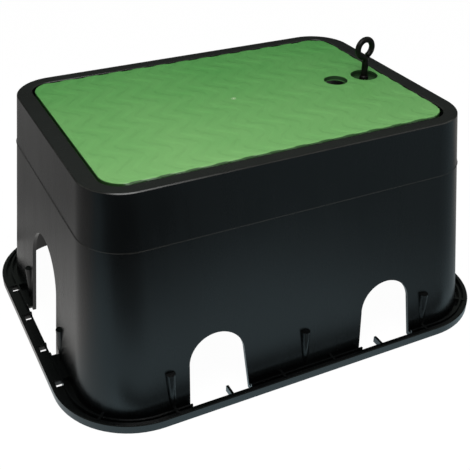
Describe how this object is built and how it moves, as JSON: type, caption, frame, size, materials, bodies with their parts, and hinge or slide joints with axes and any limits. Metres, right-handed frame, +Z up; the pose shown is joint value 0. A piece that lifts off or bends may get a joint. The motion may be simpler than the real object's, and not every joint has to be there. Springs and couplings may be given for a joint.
{
  "type": "irrigation valve box",
  "caption": "Rectangular in-ground valve box with sloping walls, pipe arches, ground flange and a flush lift-off lid held by a captive eye bolt.",
  "frame": {"origin": "centre of the box at ground level, on the plane the flange stands on", "axes": "+X along the length towards the lid's lock, +Y across the width, +Z up towards the lid"},
  "size_m": [0.6428, 0.488, 0.3626],
  "materials": {
    "black_body": "satin moulded",
    "green_lid": "satin moulded",
    "black_bolt": "black oxide",
    "plated_steel": "zinc plated"
  },
  "bodies": {
    "box": {"valve_box": "black_body", "lock_nut": "plated_steel"},
    "lid": {"lid": "green_lid"},
    "retainer": {"bolt_retainer": "plated_steel"},
    "bolt": {"eye_bolt": "black_bolt"}
  },
  "joints": [
    {"name": "lid_lift", "type": "slide", "parent": "box", "child": "lid", "axis": [0, 0, 1], "range_m": [0, 0.25]},
    {"name": "lock_rise", "type": "slide", "parent": "lid", "child": "retainer", "axis": [0, 0, 1], "range_m": [0, 0.0101]},
    {"name": "lock_turn", "type": "hinge", "parent": "retainer", "child": "bolt", "pos_m": [0.213, 0, 0.3], "axis": [0, 0, 1], "range_deg": [0, 2880]}
  ],
  "couplings": [
    {"joint": "lock_rise", "follows": "lock_turn", "m_per_rad": 0.00019894}
  ]
}
